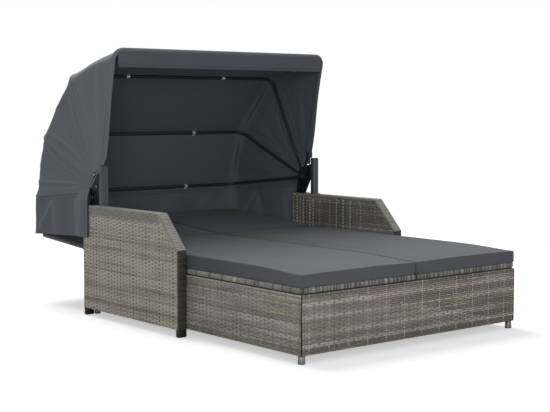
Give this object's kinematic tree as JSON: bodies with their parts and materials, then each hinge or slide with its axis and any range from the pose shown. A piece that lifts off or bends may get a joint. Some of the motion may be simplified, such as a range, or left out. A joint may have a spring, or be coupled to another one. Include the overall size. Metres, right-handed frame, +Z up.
{
  "type": "outdoor daybed with canopy",
  "caption": "Woven outdoor daybed for two with loose pads, raised armrests, backrests that tilt up on props, and a folding cloth canopy on bent bows.",
  "frame": {"origin": "middle of the bed's bounding box, on the floor", "axes": "+Z up, +Y from the foot end towards the canopy, +X to the right of someone who looks at the bed from its foot end"},
  "size_m": [1.3026, 2.0102, 1.2039],
  "materials": {
    "wicker": "flat woven strips, matt",
    "wicker_inner": "flat woven strips, matt",
    "wrapped_tube": "tube wrapped in flat strips",
    "tube": "powder coated, satin",
    "post": "powder coated, satin",
    "bracket": "powder coated, satin",
    "bolt_steel": "plain",
    "plastic": "matt",
    "pad_fabric": "close woven cover",
    "canopy_fabric": "close woven cloth",
    "snap": "satin"
  },
  "bodies": {
    "bed": {"base_frame": "tube", "base_weave": "wicker", "front_left_leg_cap": "plastic", "front_right_leg_cap": "plastic", "left_armrest_frame": "tube", "left_armrest_front_foot": "plastic", "left_armrest_inner_weave": "wicker_inner", "left_armrest_outer_weave": "wicker", "left_armrest_rear_foot": "plastic", "left_bracket_lower_screw": "bolt_steel", "left_bracket_upper_screw": "bolt_steel", "left_hinge_rod": "bolt_steel", "left_inner_rest_buffer": "plastic", "left_outer_rest_buffer": "plastic", "left_pivot_bolt": "bolt_steel", "left_pivot_bracket": "bracket", "left_post": "post", "left_post_plug": "plastic", "left_seat_frame": "wrapped_tube", "left_seat_pad": "pad_fabric", "rear_bow": "tube", "rear_bow_left_snap": "snap", "rear_bow_right_snap": "snap", "rear_left_leg_cap": "plastic", "rear_right_leg_cap": "plastic", "right_armrest_frame": "tube", "right_armrest_front_foot": "plastic", "right_armrest_inner_weave": "wicker_inner", "right_armrest_outer_weave": "wicker", "right_armrest_rear_foot": "plastic", "right_bracket_lower_screw": "bolt_steel", "right_bracket_upper_screw": "bolt_steel", "right_hinge_rod": "bolt_steel", "right_inner_rest_buffer": "plastic", "right_outer_rest_buffer": "plastic", "right_pivot_bolt": "bolt_steel", "right_pivot_bracket": "bracket", "right_post": "post", "right_post_plug": "plastic", "right_seat_frame": "wrapped_tube", "right_seat_pad": "pad_fabric", "skirt": "canopy_fabric"},
    "left_backrest": {"left_back_frame": "wrapped_tube"},
    "right_backrest": {"right_back_frame": "wrapped_tube"},
    "left_sliding_pad": {"left_back_pad": "pad_fabric"},
    "right_sliding_pad": {"right_back_pad": "pad_fabric"},
    "left_prop": {"left_prop_stay": "bolt_steel"},
    "right_prop": {"right_prop_stay": "bolt_steel"},
    "third_hoop": {"third_bow": "tube", "third_bow_left_snap": "snap", "third_bow_right_snap": "snap", "rear_gore": "canopy_fabric"},
    "second_hoop": {"second_bow": "tube", "second_bow_left_snap": "snap", "second_bow_right_snap": "snap", "middle_gore": "canopy_fabric"},
    "front_hoop": {"front_bow": "tube", "front_gore": "canopy_fabric", "valance": "canopy_fabric"}
  },
  "joints": [
    {"name": "left_back_hinge", "type": "hinge", "parent": "bed", "child": "left_backrest", "pos_m": [-0.2885, 0.29946, 0.2833], "axis": [1, 0, 0], "range_deg": [0, 45]},
    {"name": "left_pad_slide", "type": "slide", "parent": "left_backrest", "child": "left_sliding_pad", "axis": [0, 0.9976, 0.0698], "range_m": [0, 0.0625]},
    {"name": "left_prop_hinge", "type": "hinge", "parent": "bed", "child": "left_prop", "pos_m": [-0.2885, 0.41946, 0.2593], "axis": [1, 0, 0], "range_deg": [0, 84.5]},
    {"name": "right_back_hinge", "type": "hinge", "parent": "bed", "child": "right_backrest", "pos_m": [0.2885, 0.29946, 0.2833], "axis": [1, 0, 0], "range_deg": [0, 45]},
    {"name": "right_pad_slide", "type": "slide", "parent": "right_backrest", "child": "right_sliding_pad", "axis": [0, 0.9976, 0.0698], "range_m": [0, 0.0625]},
    {"name": "right_prop_hinge", "type": "hinge", "parent": "bed", "child": "right_prop", "pos_m": [0.2885, 0.41946, 0.2593], "axis": [1, 0, 0], "range_deg": [0, 84.5]},
    {"name": "third_bow_hinge", "type": "hinge", "parent": "bed", "child": "third_hoop", "pos_m": [0, 0.38546, 0.588], "axis": [-1, 0, 0], "range_deg": [0, 20.76], "deforming": ["rear_gore"]},
    {"name": "second_bow_hinge", "type": "hinge", "parent": "third_hoop", "child": "second_hoop", "pos_m": [0, 0.38546, 0.588], "axis": [-1, 0, 0], "range_deg": [0, 30.93], "deforming": ["middle_gore"]},
    {"name": "front_bow_hinge", "type": "hinge", "parent": "second_hoop", "child": "front_hoop", "pos_m": [0, 0.38546, 0.588], "axis": [-1, 0, 0], "range_deg": [0, 32.15], "deforming": ["front_gore"]}
  ],
  "couplings": [
    {"joint": "left_pad_slide", "follows": "left_back_hinge", "m_per_rad": 0.079},
    {"joint": "left_prop_hinge", "follows": "left_back_hinge", "ratio": 1.874},
    {"joint": "right_pad_slide", "follows": "right_back_hinge", "m_per_rad": 0.079},
    {"joint": "right_prop_hinge", "follows": "right_back_hinge", "ratio": 1.874},
    {"joint": "second_bow_hinge", "follows": "third_bow_hinge", "ratio": 1.4887},
    {"joint": "front_bow_hinge", "follows": "third_bow_hinge", "ratio": 1.5474}
  ]
}
